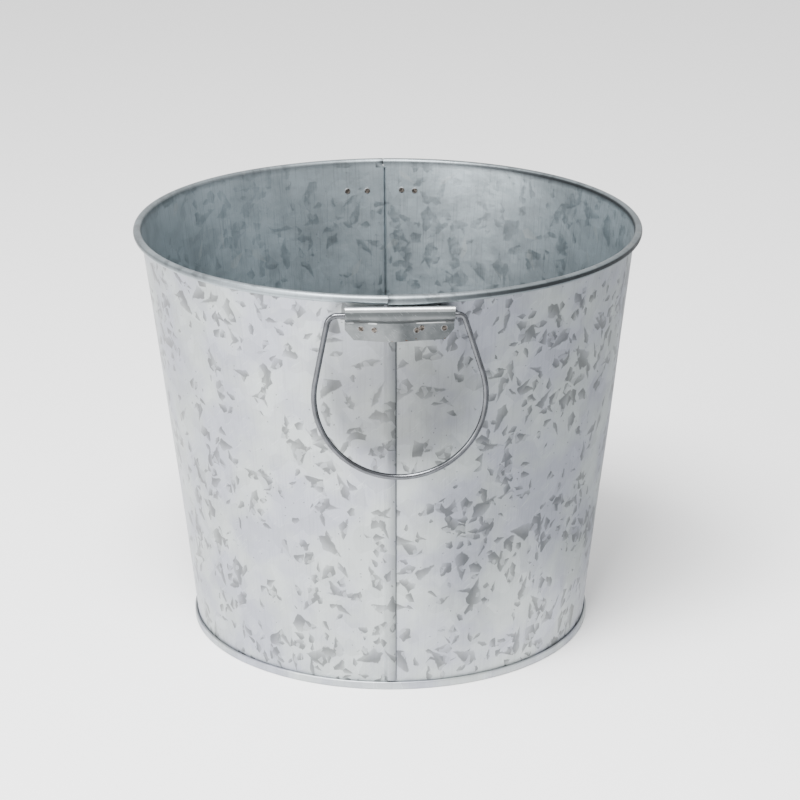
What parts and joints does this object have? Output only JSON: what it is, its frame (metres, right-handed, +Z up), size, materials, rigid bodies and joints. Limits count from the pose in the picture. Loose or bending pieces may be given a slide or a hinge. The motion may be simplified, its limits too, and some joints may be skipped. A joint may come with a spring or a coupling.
{
  "type": "florist bucket",
  "caption": "Tapered round galvanised sheet bucket with a rolled rim, seamed base and a drop wire handle on each side, for holding cut flowers in water.",
  "frame": {"origin": "centre of the standing ring, on the surface the bucket stands on", "axes": "+Z up through the mouth; -Y towards the front handle; the seams lie on -Y and +Y behind the handles"},
  "size_m": [0.28, 0.2844, 0.233],
  "materials": {
    "body_sheet": "hot-dip galvanised sheet, spangled, satin",
    "base_sheet": "hot-dip galvanised sheet, dull",
    "hanger_sheet": "galvanised strip, rubbed by the handle, with brown spot-weld marks",
    "wire": "galvanised steel wire, smooth"
  },
  "bodies": {
    "pail": {"body_left": "body_sheet", "body_right": "body_sheet", "base": "base_sheet", "rim_wire": "wire", "front_hanger": "hanger_sheet", "back_hanger": "hanger_sheet"},
    "front_handle": {"front_handle": "wire"},
    "back_handle": {"back_handle": "wire"}
  },
  "joints": [
    {"name": "front_handle_hinge", "type": "hinge", "parent": "pail", "child": "front_handle", "pos_m": [0, -0.13942, 0.223], "axis": [-1, 0, 0], "range_deg": [-6, 190]},
    {"name": "back_handle_hinge", "type": "hinge", "parent": "pail", "child": "back_handle", "pos_m": [0, 0.13942, 0.223], "axis": [1, 0, 0], "range_deg": [-6, 190]}
  ]
}
